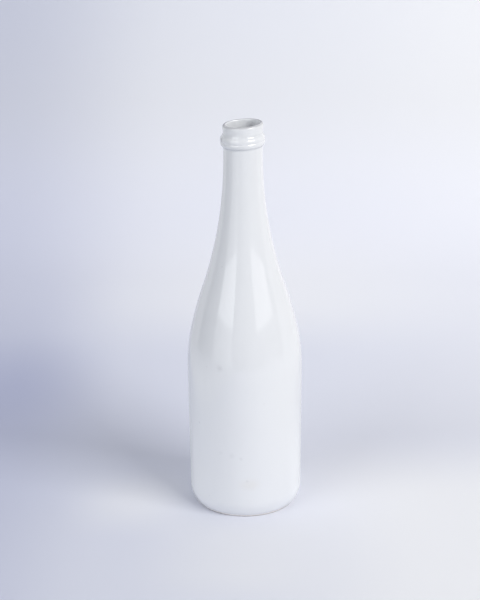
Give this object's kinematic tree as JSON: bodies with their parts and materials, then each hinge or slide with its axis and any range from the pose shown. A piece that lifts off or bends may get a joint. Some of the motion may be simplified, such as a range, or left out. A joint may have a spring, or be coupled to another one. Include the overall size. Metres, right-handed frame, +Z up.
{
  "type": "glazed ceramic bottle",
  "caption": "Tall free-standing white glazed ceramic bottle with swept shoulder, slender neck, applied neck ring and rolled lip.",
  "frame": {"origin": "on the floor at the centre of the foot", "axes": "+Z up along the bottle's axis to the mouth; -Y towards the viewer; +X to the viewer's right, where mouth and ring sit higher"},
  "size_m": [0.0884, 0.0884, 0.3035],
  "materials": {
    "fired_clay": "bare, matt",
    "white_glaze": "glossy",
    "lining_glaze": "glossy"
  },
  "bodies": {
    "root": {"ceramic_body": "fired_clay", "neck_ring": "fired_clay", "outer_glaze": "white_glaze", "inner_glaze": "lining_glaze"}
  },
  "joints": []
}
